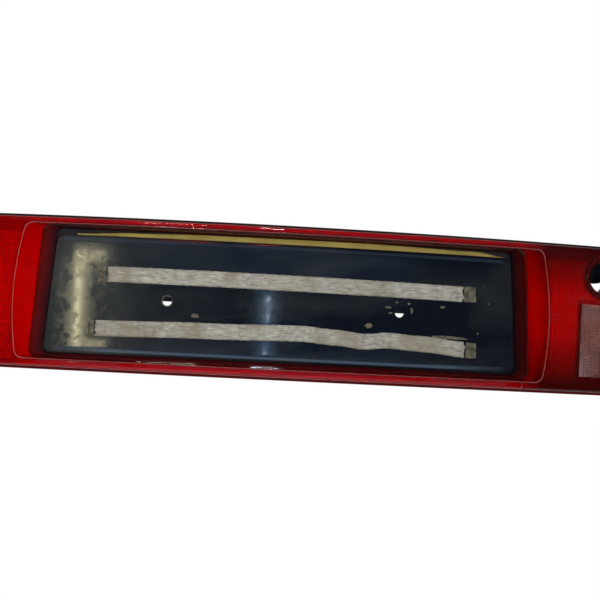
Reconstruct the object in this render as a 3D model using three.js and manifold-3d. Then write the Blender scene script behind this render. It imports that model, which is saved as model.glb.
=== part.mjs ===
// Boot-lid centre lamp bar: a long red lens on a black housing, with a badge panel in its centre recess.
// Millimetres. +X right as seen from the front, the lens faces -Y, +Z up, origin on the centre mounting pad.
// Long pieces are built straight and then bent. A feature's own x and z below are those of the straight bar.
import * as THREE from "three";
import { mergeVertices } from "three/addons/utils/BufferGeometryUtils.js";
import Module from "manifold-3d";

const wasm = await Module();
wasm.setup();

// ---- Driving dimensions -------------------------------------------------------------------------
const BOTTOM = -61; // lower edge of the bar
const TOP = 61; // upper edge at mid length
const HALF_LENGTH_BOTTOM = 455;
const HALF_LENGTH_TOP = 445; // the ends lean, so the bar is longest along its lower edge
const END_CORNER = 14;
const BOW_RADIUS = 4500; // plan curve: both ends sweep back
const ARCH_RADIUS = 13000; // the upper edge arches, the lower edge stays straight
const STATION = 92; // spacing of the cuts that let a straight solid bend

const FACE = -60; // lens face at mid length
const LENS_WALL = 3;
const SKIRT_INSET = 3; // the lens block stands this far inside its flange
const SKIRT_WALL = 2.5;
const FLANGE_FRONT = -42;
const FLANGE_BACK = -38;
const SKIRT_END = -34; // tip of the tongue in the housing groove

const RIM_FRONT = -37.6;
const RIM_BACK = -30;
const GROOVE_BOTTOM = -32.4;
const BODY_INSET = 9;
const BODY_WALL = 2.5;
const BACK_INSIDE = -9;
const BACK_OUTSIDE = -6;

const PANEL_FACE = -47.4;
const PANEL_EDGE = -46.2;
const PANEL_BACK = -44.2;
const PANEL_BEVEL = 5;
const PLATFORM_FACE = -43.7;
const PLATFORM_WALL = 2.5;

const GAP = 0.3; // between neighbouring pieces
const GLUE_GAP = 0.05; // between a glued strip and the face under it
const PIN_X = 91; // badge pin holes
const PIN_Z = -3;
const PIN_RADIUS = 3.6;

const LOCK = { x: 254, z: 35, outer: 18, inner: 13, tube: 15.5 };
const WINDOW = { inner: 234, outer: 354, bottom: -45.4, top: 12 };
const STUDS = [
  [-125, 38],
  [125, 38],
  [-225, -32],
  [225, -32],
  [-418, 38],
  [418, 38],
];
const STUD = { radius: 3, shoulder: 4.4, pad: 8.5, depth: 20, reach: 18 };
const PANEL_SCREWS = [
  [-150, -30],
  [150, -30],
  [-150, 30],
  [150, 30],
];
// One lamp: its bulb axis and the mouth of its reflector.
const LAMPS = [
  { name: "reverse", x: 294, z: -17, mouth: 26, rim: -40, lug: 0 },
  { name: "stop", x: 396, z: 0, mouth: 36, rim: -38, lug: 30 },
];
const SEAT = { boss: 20, face: -4, inside: -9, bore: 12.2, notch: 14.9, flat: 18.5 };
const HOLDER = { barrel: 11.6, lug: 14.2, flange: 16.5, twist: 45 };

// ---- Small helpers --------------------------------------------------------------------------------
// Both curves run straight between stations, so pieces that lie on each other keep their gap.
function curve(x, radius) {
  const station = Math.floor(x / STATION) * STATION;
  const share = (x - station) / STATION;
  return ((1 - share) * station ** 2 + share * (station + STATION) ** 2) / (2 * radius);
}
const bow = (x) => curve(x, BOW_RADIUS);
const arch = (x, z) => ((z - BOTTOM) / (TOP - BOTTOM)) * curve(x, ARCH_RADIUS);
const placed = (x, z) => ({ x, y: bow(x), z: z - arch(x, z) });

// A closed three.js geometry as a manifold solid, turned right side out.
function solid(geometry) {
  const bare = geometry.clone();
  for (const key of ["normal", "uv"]) {
    bare.deleteAttribute(key);
  }
  const merged = mergeVertices(bare, 1e-4);
  const index = Array.from(merged.index.array);
  const triVerts = [];
  for (let i = 0; i < index.length; i += 3) {
    const [a, b, c] = index.slice(i, i + 3);
    if (a !== b && b !== c && a !== c) triVerts.push(a, b, c);
  }
  const build = (tris) =>
    new wasm.Manifold(
      new wasm.Mesh({
        numProp: 3,
        vertProperties: new Float32Array(merged.attributes.position.array),
        triVerts: new Uint32Array(tris),
      }),
    );
  const made = build(triVerts);
  return made.volume() < 0 ? build(triVerts.reverse()) : made;
}

// A manifold solid as a three.js geometry.
function geometryOf(body) {
  const mesh = body.getMesh();
  const positions = new Float32Array(mesh.numVert * 3);
  for (let i = 0; i < mesh.numVert; i++) {
    positions.set(mesh.vertProperties.subarray(i * mesh.numProp, i * mesh.numProp + 3), i * 3);
  }
  return new THREE.BufferGeometry()
    .setAttribute("position", new THREE.BufferAttribute(positions, 3))
    .setIndex(new THREE.BufferAttribute(new Uint32Array(mesh.triVerts), 1));
}

const union = (bodies) => bodies.reduce((sum, next) => sum.add(next));

function box(x0, x1, y0, y1, z0, z1) {
  const made = new THREE.BoxGeometry(x1 - x0, y1 - y0, z1 - z0);
  return solid(made.translate((x0 + x1) / 2, (y0 + y1) / 2, (z0 + z1) / 2));
}

// A closed outline in x and z, with each corner rounded to its own radius.
function rounded(corners, steps = 2) {
  const points = [];
  corners.forEach(([x, z, radius], i) => {
    const at = new THREE.Vector2(x, z);
    const before = new THREE.Vector2(...corners.at(i - 1).slice(0, 2)).sub(at).normalize();
    const after = new THREE.Vector2(...corners[(i + 1) % corners.length].slice(0, 2)).sub(at).normalize();
    const half = Math.acos(THREE.MathUtils.clamp(before.dot(after), -1, 1)) / 2;
    const reach = radius / Math.tan(half);
    const centre = before.clone().add(after).normalize().multiplyScalar(radius / Math.sin(half)).add(at);
    const from = before.multiplyScalar(reach).add(at).sub(centre).angle();
    const to = after.multiplyScalar(reach).add(at).sub(centre).angle();
    const turn = THREE.MathUtils.euclideanModulo(to - from + Math.PI, 2 * Math.PI) - Math.PI;
    for (let k = 0; k <= steps; k++) {
      const angle = from + (turn * k) / steps;
      const spoke = new THREE.Vector2(radius * Math.cos(angle), radius * Math.sin(angle));
      points.push(spoke.add(centre));
    }
  });
  return points;
}

// A solid between two outlines of the same point count, the first at y0 and the second at y1.
function taper(outline0, y0, outline1, y1) {
  const count = outline0.length;
  const at = (outline, y) => outline.map((p) => [p.x, y, p.y]);
  const points = [...at(outline0, y0), ...at(outline1, y1)];
  const cap = THREE.ShapeUtils.triangulateShape(outline0, []);
  const backCap = THREE.ShapeUtils.triangulateShape(outline1, []);
  const faces = [];
  cap.forEach(([a, b, c]) => faces.push([a, b, c]));
  backCap.forEach(([a, b, c]) => faces.push([count + a, count + c, count + b]));
  for (let i = 0; i < count; i++) {
    const next = (i + 1) % count;
    faces.push([i, count + i, count + next], [i, count + next, next]);
  }
  const made = new THREE.BufferGeometry();
  made.setAttribute("position", new THREE.Float32BufferAttribute(points.flat(), 3));
  made.setIndex(faces.flat());
  return solid(made);
}

const prism = (outline, y0, y1) => taper(outline, y0, outline, y1);

// A turned solid about an axis along y through (x, z): the profile is a list of [radius, y].
function turned(profile, x, z, y = 0, segments = 20) {
  const points = profile.map(([r, h]) => new THREE.Vector2(r, h));
  return solid(new THREE.LatheGeometry(points, segments).translate(x, y, z));
}

const rod = (radius, y0, y1, x, z, y = 0, segments = 20) =>
  turned([[0, y0], [radius, y0], [radius, y1], [0, y1]], x, z, y, segments);

function ring(outer, inner, y0, y1, x, z, y = 0, segments = 20) {
  const profile = [[inner, y0], [outer, y0], [outer, y1], [inner, y1], [inner, y0]];
  return turned(profile, x, z, y, segments);
}

// Cuts every triangle at the stations and moves each vertex onto the bowed and arched bar.
function bend(body) {
  const source = geometryOf(body).toNonIndexed().attributes.position;
  const stations = [];
  for (let k = -Math.floor(HALF_LENGTH_BOTTOM / STATION); k * STATION < HALF_LENGTH_BOTTOM; k++) {
    stations.push(k * STATION);
  }
  const snap = (x) => stations.find((s) => Math.abs(s - x) < 0.01) ?? x;
  const cutAt = (a, b, s) => {
    const [p, q] = a[0] < b[0] ? [a, b] : [b, a];
    const share = (s - p[0]) / (q[0] - p[0]);
    return [s, p[1] + share * (q[1] - p[1]), p[2] + share * (q[2] - p[2])];
  };
  const side = (polygon, s, sign) => {
    const kept = [];
    polygon.forEach((a, i) => {
      const b = polygon[(i + 1) % polygon.length];
      if (sign * (a[0] - s) >= 0) kept.push(a);
      if ((a[0] - s) * (b[0] - s) < 0) kept.push(cutAt(a, b, s));
    });
    return kept;
  };
  const out = [];
  for (let i = 0; i < source.count; i += 3) {
    let rest = [0, 1, 2].map((k) => [snap(source.getX(i + k)), source.getY(i + k), source.getZ(i + k)]);
    const pieces = [];
    for (const s of stations) {
      const xs = rest.map((p) => p[0]);
      if (Math.min(...xs) < s && Math.max(...xs) > s) {
        pieces.push(side(rest, s, -1));
        rest = side(rest, s, 1);
      }
    }
    pieces.push(rest);
    for (const piece of pieces) {
      for (let k = 1; k + 1 < piece.length; k++) {
        for (const [x, y, z] of [piece[0], piece[k], piece[k + 1]]) {
          out.push(x, y + bow(x), z - arch(x, z));
        }
      }
    }
  }
  const positions = new THREE.Float32BufferAttribute(out, 3);
  return solid(new THREE.BufferGeometry().setAttribute("position", positions));
}

const group = new THREE.Group();

function add(name, body, { colour, roughness = 0.6, metalness = 0 }) {
  const material = new THREE.MeshStandardMaterial({ color: colour, roughness, metalness });
  const mesh = new THREE.Mesh(geometryOf(body), material);
  mesh.name = name;
  group.add(mesh);
}

const RED_ACRYLIC = { colour: 0xa00a06, roughness: 0.15 };
const CLEAR_ACRYLIC = { colour: 0x714f49, roughness: 0.15 };
const BLACK_ABS = { colour: 0x17181a, roughness: 0.6 };
const GLOSS_PANEL = { colour: 0x1a1d24, roughness: 0.08 };
const FOAM = { colour: 0x94948c, roughness: 0.95 };
const RESIDUE = { colour: 0x4a4033, roughness: 0.8 };
const OLD_SEALANT = { colour: 0x897445, roughness: 0.8 };
const RUBBER = { colour: 0x202020, roughness: 0.9 };
const ZINC = { colour: 0xb8b9b4, roughness: 0.35, metalness: 1 };
const SILVERED = { colour: 0xd8d8d8, roughness: 0.12, metalness: 1 };
const GLASS = { colour: 0xe6ecec, roughness: 0.05 };
const BRASS = { colour: 0xb59a52, roughness: 0.35, metalness: 1 };

// ---- Outlines -------------------------------------------------------------------------------------
function barOutline(inset) {
  const corner = Math.max(END_CORNER - inset, 3);
  return rounded([
    [-HALF_LENGTH_BOTTOM + inset, BOTTOM + inset, corner],
    [HALF_LENGTH_BOTTOM - inset, BOTTOM + inset, corner],
    [HALF_LENGTH_TOP - inset, TOP - inset, corner],
    [-HALF_LENGTH_TOP + inset, TOP - inset, corner],
  ]);
}

// A symmetric six-cornered outline: half widths at the bottom, the middle and the top.
function recessOutline([bottom, low], [middle, mid], [top, high], corner, grow = 0) {
  return rounded([
    [-bottom - grow, low - grow, corner],
    [bottom + grow, low - grow, corner],
    [middle + grow, mid, 60],
    [top + grow, high + grow, corner],
    [-top - grow, high + grow, corner],
    [-middle - grow, mid, 60],
  ]);
}

const ridge = (grow) => recessOutline([204, -51.9], [207.5, 3], [200.5, 53.6], 6, grow);
const mouth = (grow) => recessOutline([193.5, -49.9], [190.2, 3], [186.5, 51.6], 7, grow);
const foot = (grow) => recessOutline([186, -47.4], [182.2, 3], [178.6, 50.4], 6, grow);
const panelEdge = (grow) => recessOutline([185.5, -46.9], [181.8, 3], [178.2, 45.5], 6, grow);
const platform = (grow) => recessOutline([191, -50.4], [190.8, 3], [190.5, 51.8], 4, grow);

const FLOOR = -56; // where the recess bevel meets its side wall
const WALL_END = -46;
const RECESS_END = -44;

function recess(grow, front, back) {
  return union([
    taper(ridge(grow), front, mouth(grow), FLOOR),
    taper(mouth(grow), FLOOR, foot(grow), WALL_END),
    prism(foot(grow), WALL_END, back),
  ]);
}

const windowAt = (side, grow, y0, y1) => {
  const [x0, x1] = side > 0 ? [WINDOW.inner, WINDOW.outer] : [-WINDOW.outer, -WINDOW.inner];
  return box(x0 - grow, x1 + grow, y0, y1, WINDOW.bottom - grow, WINDOW.top + grow);
};

// ---- Lens -----------------------------------------------------------------------------------------
const EDGE = 2.4; // rounding of the lens block's front edge, in two facets
const lensBlock = union([
  taper(barOutline(SKIRT_INSET + EDGE), FACE, barOutline(SKIRT_INSET + EDGE * 0.3), FACE + EDGE * 0.3),
  taper(barOutline(SKIRT_INSET + EDGE * 0.3), FACE + EDGE * 0.3, barOutline(SKIRT_INSET), FACE + EDGE),
  prism(barOutline(SKIRT_INSET), FACE + EDGE, SKIRT_END),
]);
const lensCavity = prism(barOutline(SKIRT_INSET + SKIRT_WALL), FACE + LENS_WALL, SKIRT_END + 1);
const lock = placed(LOCK.x, LOCK.z);

const straightLens = lensBlock
  .add(prism(barOutline(0), FLANGE_FRONT, FLANGE_BACK))
  .subtract(lensCavity.subtract(recess(2, FACE - 1, RECESS_END)))
  .subtract(recess(0, FACE, RECESS_END + 1))
  .subtract(windowAt(1, GAP, FACE - 1, FACE + LENS_WALL + 1))
  .subtract(windowAt(-1, GAP, FACE - 1, FACE + LENS_WALL + 1));

const lensCollar = union([
  rod(LOCK.outer, -61.2, -42, lock.x, lock.z, lock.y, 32),
  rod(LOCK.tube, -42, -38, lock.x, lock.z, lock.y, 32),
]);
const lockBore = turned([[0, -63], [LOCK.inner + 2.4, -63], [LOCK.inner, -58], [LOCK.inner, -30], [0, -30]],
  lock.x, lock.z, lock.y, 32);
add("red_lens", bend(straightLens).add(lensCollar).subtract(lockBore), RED_ACRYLIC);

for (const [side, word] of [[-1, "left"], [1, "right"]]) {
  const plate = windowAt(side, 0, FACE, FACE + LENS_WALL + GAP);
  const flange = windowAt(side, 2.2, FACE + LENS_WALL + GAP, FACE + LENS_WALL + 1.5);
  add(`reverse_lens_${word}`, bend(plate.add(flange)), CLEAR_ACRYLIC);
}

// ---- Housing --------------------------------------------------------------------------------------
const hollow = prism(barOutline(BODY_INSET + BODY_WALL), RIM_FRONT - 1, BACK_INSIDE);
const groove = prism(barOutline(2.4), RIM_FRONT - 1, GROOVE_BOTTOM).subtract(
  prism(barOutline(6.1), RIM_FRONT - 2, GROOVE_BOTTOM + 1),
);
const shell = union([
  prism(barOutline(0.5), RIM_FRONT, RIM_BACK),
  prism(barOutline(BODY_INSET), RIM_BACK, BACK_OUTSIDE),
]).subtract(hollow).subtract(groove);

const CHAMBER_WALL_X = 356;
const chamberWalls = union([-1, 1].map((side) => {
  const x = side * CHAMBER_WALL_X;
  return box(x - 1, x + 1, RIM_FRONT, BACK_INSIDE + 1, BOTTOM + BODY_INSET + 1, TOP - BODY_INSET - 1);
}));

// The centre of the housing steps forward to carry the badge panel and is open at the rear.
const RIB_BACK = -12;
const centreHollow = prism(platform(-PLATFORM_WALL), PLATFORM_FACE + PLATFORM_WALL, BACK_OUTSIDE + 1);
const ribs = union([
  ...[-145, -76, -31, 31, 76, 145].map((x) => box(x - 1, x + 1, PLATFORM_FACE + 1, RIB_BACK, -49, 50)),
  // The long rib runs behind the upper half of the pin holes.
  box(-189, 189, PLATFORM_FACE + 1, RIB_BACK, PIN_Z, PIN_Z + 4.4),
]);
const pinHoles = union([-1, 1].map((side) =>
  rod(PIN_RADIUS + 0.6, -50, PLATFORM_FACE + PLATFORM_WALL + 1, side * PIN_X, PIN_Z, 0, 12)));
const screwHoles = union(PANEL_SCREWS.map(([x, z]) =>
  rod(1.9, -50, PLATFORM_FACE + PLATFORM_WALL + 1, x, z, 0, 8)));
const straightHousing = shell
  .add(chamberWalls)
  .add(prism(platform(0), PLATFORM_FACE, BACK_OUTSIDE))
  .subtract(centreHollow)
  .add(ribs)
  .subtract(pinHoles)
  .subtract(screwHoles);

const inCentre = (x) => Math.abs(x) < 190;
const studPosts = STUDS.map(([x, z]) => {
  const at = placed(x, z);
  return rod(STUD.pad, inCentre(x) ? PLATFORM_FACE + 1 : -26, 0, at.x, at.z, at.y, 14);
});
const studBores = STUDS.map(([x, z]) => {
  const at = placed(x, z);
  const r = STUD.radius + GAP;
  const s = STUD.shoulder + GAP;
  const profile = [[0, -STUD.depth - GAP], [s, -STUD.depth - GAP], [s, -STUD.depth + 8 + GAP]];
  profile.push([r, -STUD.depth + 8 + GAP], [r, 1], [0, 1]);
  return turned(profile, at.x, at.z, at.y, 10);
});

const lamps = [-1, 1].flatMap((side) =>
  LAMPS.map((lamp) => ({
    ...lamp,
    ...placed(side * lamp.x, lamp.z),
    label: `${lamp.name}_${side < 0 ? "left" : "right"}`,
  })),
);

// A block that reaches from the lamp axis out to a radius, turned about the axis by an angle in degrees.
function spoke(from, to, width, y0, y1, degrees, at) {
  const made = new THREE.BoxGeometry(to - from, y1 - y0, width);
  made.translate((from + to) / 2, (y0 + y1) / 2, 0).rotateY(THREE.MathUtils.degToRad(degrees));
  return solid(made.translate(at.x, at.y, at.z));
}

const seats = union(lamps.map((l) => rod(SEAT.boss, SEAT.inside, SEAT.face, l.x, l.z, l.y, 32)));
const seatCuts = union(lamps.flatMap((l) => [
  rod(SEAT.flat, -20, SEAT.inside, l.x, l.z, l.y, 32),
  rod(SEAT.bore, -20, 0, l.x, l.z, l.y, 32),
  ...[0, 120, 240].map((a) => spoke(0, SEAT.notch, 10, -20, 0, a + l.lug + HOLDER.twist, l)),
]));

// The lock aperture: a tube whose rear end is partly closed by a rounded web.
const lockTube = rod(LOCK.tube, RIM_FRONT, BACK_INSIDE + 1, lock.x, lock.z, lock.y, 32);
const tubeBore = rod(LOCK.inner, -40, BACK_INSIDE, lock.x, lock.z, lock.y, 32);
const rearWeb = rod(LOCK.inner, BACK_INSIDE - 2, 2, lock.x + 5, lock.z + 10, lock.y, 32);
const rearOpening = rod(LOCK.inner, BACK_INSIDE - 1, 1, lock.x, lock.z, lock.y, 32).subtract(rearWeb);

const CENTRE_PAD = 15;
const housing = bend(straightHousing)
  .add(union(studPosts))
  .add(box(-CENTRE_PAD, CENTRE_PAD, PLATFORM_FACE + 1, 0, -CENTRE_PAD, CENTRE_PAD))
  .add(seats)
  .add(lockTube)
  .subtract(union(studBores))
  .subtract(seatCuts)
  .subtract(tubeBore)
  .subtract(rearOpening);
add("housing", housing, BLACK_ABS);

// ---- Seals ----------------------------------------------------------------------------------------
const band = (outer, inner, y0, y1) =>
  prism(barOutline(outer), y0, y1).subtract(prism(barOutline(inner), y0 - 1, y1 + 1));
add("lens_seal", bend(band(2.8, 5.7, SKIRT_END + GAP, GROOVE_BOTTOM - GAP)), RUBBER);
add("body_gasket", bend(band(10, 14, BACK_OUTSIDE + GLUE_GAP, -0.5)), RUBBER);

// ---- Badge panel ----------------------------------------------------------------------------------
const panel = union([
  taper(panelEdge(-PANEL_BEVEL), PANEL_FACE, panelEdge(0), PANEL_EDGE),
  prism(panelEdge(0), PANEL_EDGE, PANEL_BACK),
])
  .subtract(union([-1, 1].map((side) => rod(PIN_RADIUS, -50, -40, side * PIN_X, PIN_Z, 0, 12))))
  .subtract(union(PANEL_SCREWS.map(([x, z]) => rod(1.9, PANEL_BACK - 1.8, -40, x, z, 0, 8))));
add("badge_panel", bend(panel), GLOSS_PANEL);

PANEL_SCREWS.forEach(([x, z], i) => {
  const at = placed(x, z);
  const seat = PLATFORM_FACE + PLATFORM_WALL + GAP;
  const profile = [[0, PANEL_BACK - 1.4], [1.5, PANEL_BACK - 1.4], [1.5, seat], [3.8, seat]];
  profile.push([3.8, seat + 1.4], [2.4, seat + 2.6], [0, seat + 2.6]);
  add(`panel_screw_${i + 1}`, turned(profile, at.x, at.z, at.y, 10), ZINC);
});

// A glued strip on the panel face, between an upper and a lower edge line given as [x, z] points.
function strip(upper, lower, thickness) {
  const outline = [...lower, ...upper.toReversed()].map(([x, z]) => new THREE.Vector2(x, z));
  const back = PANEL_FACE - GLUE_GAP;
  return bend(prism(outline, back - thickness, back));
}

const TAPE = 12.6; // width of the foam tape
const TAPE_THICKNESS = 1.4;
function tapeAlong(line) {
  const upper = line.map(([x, z]) => [x, z + TAPE / 2]);
  const lower = line.map(([x, z]) => [x, z - TAPE / 2]);
  return strip(upper, lower, TAPE_THICKNESS);
}
const UPPER_TAPE = [[-139, 16], [0, 15.6], [141, 14.6]];
const LOWER_TAPE = [[-146, -26.5], [-60, -25], [15, -23.4], [40, -25], [64, -27], [82, -25.2], [110, -26.6],
  [144, -29.4]];
add("badge_tape_upper", tapeAlong(UPPER_TAPE), FOAM);
add("badge_tape_lower", tapeAlong(LOWER_TAPE), FOAM);

const RESIDUE_THICKNESS = 0.4;
function residue(x0, x1, z0, z1) {
  const middle = (x0 + x1) / 2;
  const upper = [[x0, z1 - 1.2], [middle, z1], [x1, z1 - 0.8]];
  const lower = [[x0, z0 + 0.8], [middle, z0], [x1, z0 + 1]];
  return strip(upper, lower, RESIDUE_THICKNESS);
}
add("tape_residue_upper_left", residue(-145.8, -139.4, 10, 22), RESIDUE);
add("tape_residue_upper_right", residue(141.4, 151.4, 8.6, 20.8), RESIDUE);
add("tape_residue_lower_left", residue(-151.2, -146.4, -33, -20), RESIDUE);
add("tape_residue_lower_right", residue(144.4, 153.4, -36, -23.4), RESIDUE);

// Old sealing compound along the upper edge of the panel, thin at both ends.
const sealantTop = [[-163, 47.2], [-100, 49.3], [60, 49.8], [150, 49], [172, 46.6]];
const sealantBottom = [[-163, 45.9], [172, 45.9]];
const sealantOutline = [...sealantBottom, ...sealantTop.toReversed()]
  .map(([x, z]) => new THREE.Vector2(x, z));
add("panel_sealing_strip", bend(prism(sealantOutline, -46.6, PLATFORM_FACE - GLUE_GAP)), OLD_SEALANT);

// ---- Reflectors -----------------------------------------------------------------------------------
const BOWL_WALL = 1.2;
const BOWL_NECK = 16;
const NECK_END = -13;
for (const lamp of lamps) {
  const inner = [[BOWL_NECK, SEAT.inside - GAP]];
  for (let k = 0; k <= 4; k++) {
    const share = k / 4;
    const radius = BOWL_NECK + (lamp.mouth - BOWL_NECK) * Math.sqrt(share);
    inner.push([radius, NECK_END + (lamp.rim - NECK_END) * share]);
  }
  const outer = inner.map(([r, y]) => [r + BOWL_WALL, y]).reverse();
  const bowl = [...inner, ...outer, inner[0]];
  add(`${lamp.label}_reflector`, turned(bowl, lamp.x, lamp.z, lamp.y, 20), SILVERED);
}

// ---- Twist-lock bulb holders ------------------------------------------------------------------------
// Heights along a holder's own axis, measured rearwards from the seat face.
const SEAL = [0.3, 1.6];
const FLANGE = [1.9, 4.4];
const BARREL_FRONT = -12;
const SOCKET_FLOOR = -3;
const PLUG_FLOOR = 7;
const PLUG_END = 18;
const BLADE_X = 3.6;
for (const lamp of lamps) {
  const at = { x: lamp.x, y: lamp.y + SEAT.face, z: lamp.z };
  const cube = (x0, x1, y0, y1, z0, z1) =>
    box(at.x + x0, at.x + x1, at.y + y0, at.y + y1, at.z + z0, at.z + z1);
  const lugs = [0, 120, 240].map((a) => spoke(9, HOLDER.lug, 8, -7.6, -5.4, a + lamp.lug, at));
  const bladeSlots = [-1, 1].map((side) =>
    cube(side * BLADE_X - 0.8, side * BLADE_X + 0.8, SOCKET_FLOOR - 1, PLUG_FLOOR + 1, -2.4, 2.4));
  const holder = union([
    rod(HOLDER.barrel, BARREL_FRONT, FLANGE[0], at.x, at.z, at.y, 20),
    rod(HOLDER.flange, FLANGE[0], FLANGE[1], at.x, at.z, at.y, 20),
    ...lugs,
    cube(-11, 11, FLANGE[1], PLUG_END, -7.5, 7.5),
    cube(-14.5, 14.5, FLANGE[1], FLANGE[1] + 4, -1.5, 1.5),
  ])
    .subtract(rod(7.4, BARREL_FRONT - 1, SOCKET_FLOOR, at.x, at.z, at.y, 20))
    .subtract(cube(-9, 9, PLUG_FLOOR, PLUG_END + 1, -5.5, 5.5))
    .subtract(union(bladeSlots));
  add(`${lamp.label}_holder`, holder, BLACK_ABS);
  add(`${lamp.label}_holder_seal`, ring(16, 12.6, ...SEAL, at.x, at.z, at.y, 16), RUBBER);
  const bulb = [
    [0, SOCKET_FLOOR - 3], [7, SOCKET_FLOOR - 3], [7, BARREL_FRONT - 1], [9.4, BARREL_FRONT - 4],
    [9.8, -28], [8.6, -34], [5.2, -38], [0, -39.4],
  ];
  add(`${lamp.label}_bulb`, turned(bulb, at.x, at.z, at.y, 12), GLASS);
  for (const [side, word] of [[-1, "live"], [1, "earth"]]) {
    const x = side * BLADE_X;
    add(`${lamp.label}_terminal_${word}`, cube(x - 0.4, x + 0.4, SOCKET_FLOOR - 2.6, 15, -2, 2), BRASS);
  }
}

// ---- Studs and nuts -------------------------------------------------------------------------------
STUDS.forEach(([x, z], i) => {
  const at = placed(x, z);
  const r = STUD.radius;
  const profile = [[0, -STUD.depth], [STUD.shoulder, -STUD.depth], [STUD.shoulder, -STUD.depth + 8]];
  profile.push([r, -STUD.depth + 8], [r, STUD.reach - 1], [r - 0.8, STUD.reach], [0, STUD.reach]);
  add(`mounting_stud_${i + 1}`, turned(profile, at.x, at.z, at.y, 10), ZINC);
  const nut = union([rod(7, 5, 6.4, at.x, at.z, at.y, 12), rod(5.6, 6.4, 11.6, at.x, at.z, at.y, 6)]);
  add(`mounting_nut_${i + 1}`, nut.subtract(rod(r + GAP, 4, 13, at.x, at.z, at.y, 10)), ZINC);
});

export default group;
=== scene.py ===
"""Looks for a boot-lid centre lamp bar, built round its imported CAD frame.

Metres in the frame's axes: +X right seen from the front, the lens faces -Y, +Z up. Shapes below
are written in millimetres on a straight bar, and bent() puts each point on the curved one.
"""

import math
from collections import namedtuple

import bmesh
import bpy
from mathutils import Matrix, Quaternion, Vector, noise

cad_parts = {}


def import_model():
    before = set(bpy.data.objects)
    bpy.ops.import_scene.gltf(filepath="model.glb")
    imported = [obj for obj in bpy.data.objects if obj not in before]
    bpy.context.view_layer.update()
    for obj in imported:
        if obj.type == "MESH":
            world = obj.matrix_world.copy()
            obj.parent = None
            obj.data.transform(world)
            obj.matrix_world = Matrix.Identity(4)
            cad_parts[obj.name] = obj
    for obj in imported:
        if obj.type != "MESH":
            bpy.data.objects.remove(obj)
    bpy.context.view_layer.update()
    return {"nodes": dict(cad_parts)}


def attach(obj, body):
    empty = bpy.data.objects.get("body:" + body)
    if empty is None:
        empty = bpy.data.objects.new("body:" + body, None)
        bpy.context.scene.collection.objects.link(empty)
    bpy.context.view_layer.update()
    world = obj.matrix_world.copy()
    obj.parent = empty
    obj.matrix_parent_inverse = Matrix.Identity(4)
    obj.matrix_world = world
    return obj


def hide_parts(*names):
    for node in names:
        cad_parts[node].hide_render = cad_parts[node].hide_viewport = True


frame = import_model()

# ---- The bar's dimensions, in millimetres; depths run backwards, along +Y ----
BOTTOM, TOP = -61.0, 61.0
HALF_BOTTOM, HALF_TOP = 455.0, 445.0  # half the length of the lower and the upper edge
BOW_RADIUS, ARCH_RADIUS = 4500.0, 13000.0
FACE, INNER_FACE = -60.0, -57.0  # front and back of the lens's face
SKIRT = 3.0  # how far the skirt stands in from the flange's rim
EDGE = 2.4  # radius between the skirt and the face
FLANGE_FRONT, FLANGE_BACK, SKIRT_END = -42.0, -38.0, -34.0
RIDGE, RIDGE_RISE = 0.7, 0.35  # half width and height of the ridge round the recess
BEVEL_END, WALL_END, RECESS_END = -55.9, -46.0, -44.0  # the recess: bevel, then wall, then rim
PANEL_FACE, PANEL_EDGE, PANEL_BACK, PANEL_BEVEL = -47.4, -46.2, -44.2, 5.0
PANEL_SKIN = PANEL_FACE - 0.05  # where what sticks to the panel starts
OPTICS_PITCH, WINDOW_PITCH = 2.3, 2.1
WINDOW = {"inner": 234.0, "outer": 354.0, "bottom": -45.4, "top": 12.0}
LOCK = {"x": 254.0, "z": 35.0, "outer": 18.0}
PIN_X, PIN_Z, PIN_RADIUS = 91.0, -3.0, 3.6
SIDES = ((-1, "left"), (1, "right"))
ROOT = "lamp_body"


def bow(x):
    """How far the bar has curved back at a place along it."""
    return x * x / (2 * BOW_RADIUS)


def arch(x, z):
    """How far the bar has curved down there, which grows from its lower edge to its upper one."""
    return (z - BOTTOM) / (TOP - BOTTOM) * x * x / (2 * ARCH_RADIUS)


def bent(x, y, z):
    """A point of the straight bar, in millimetres, as a point of the real one, in metres."""
    return Vector((x, y + bow(x), z - arch(x, z))) / 1000


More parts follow.
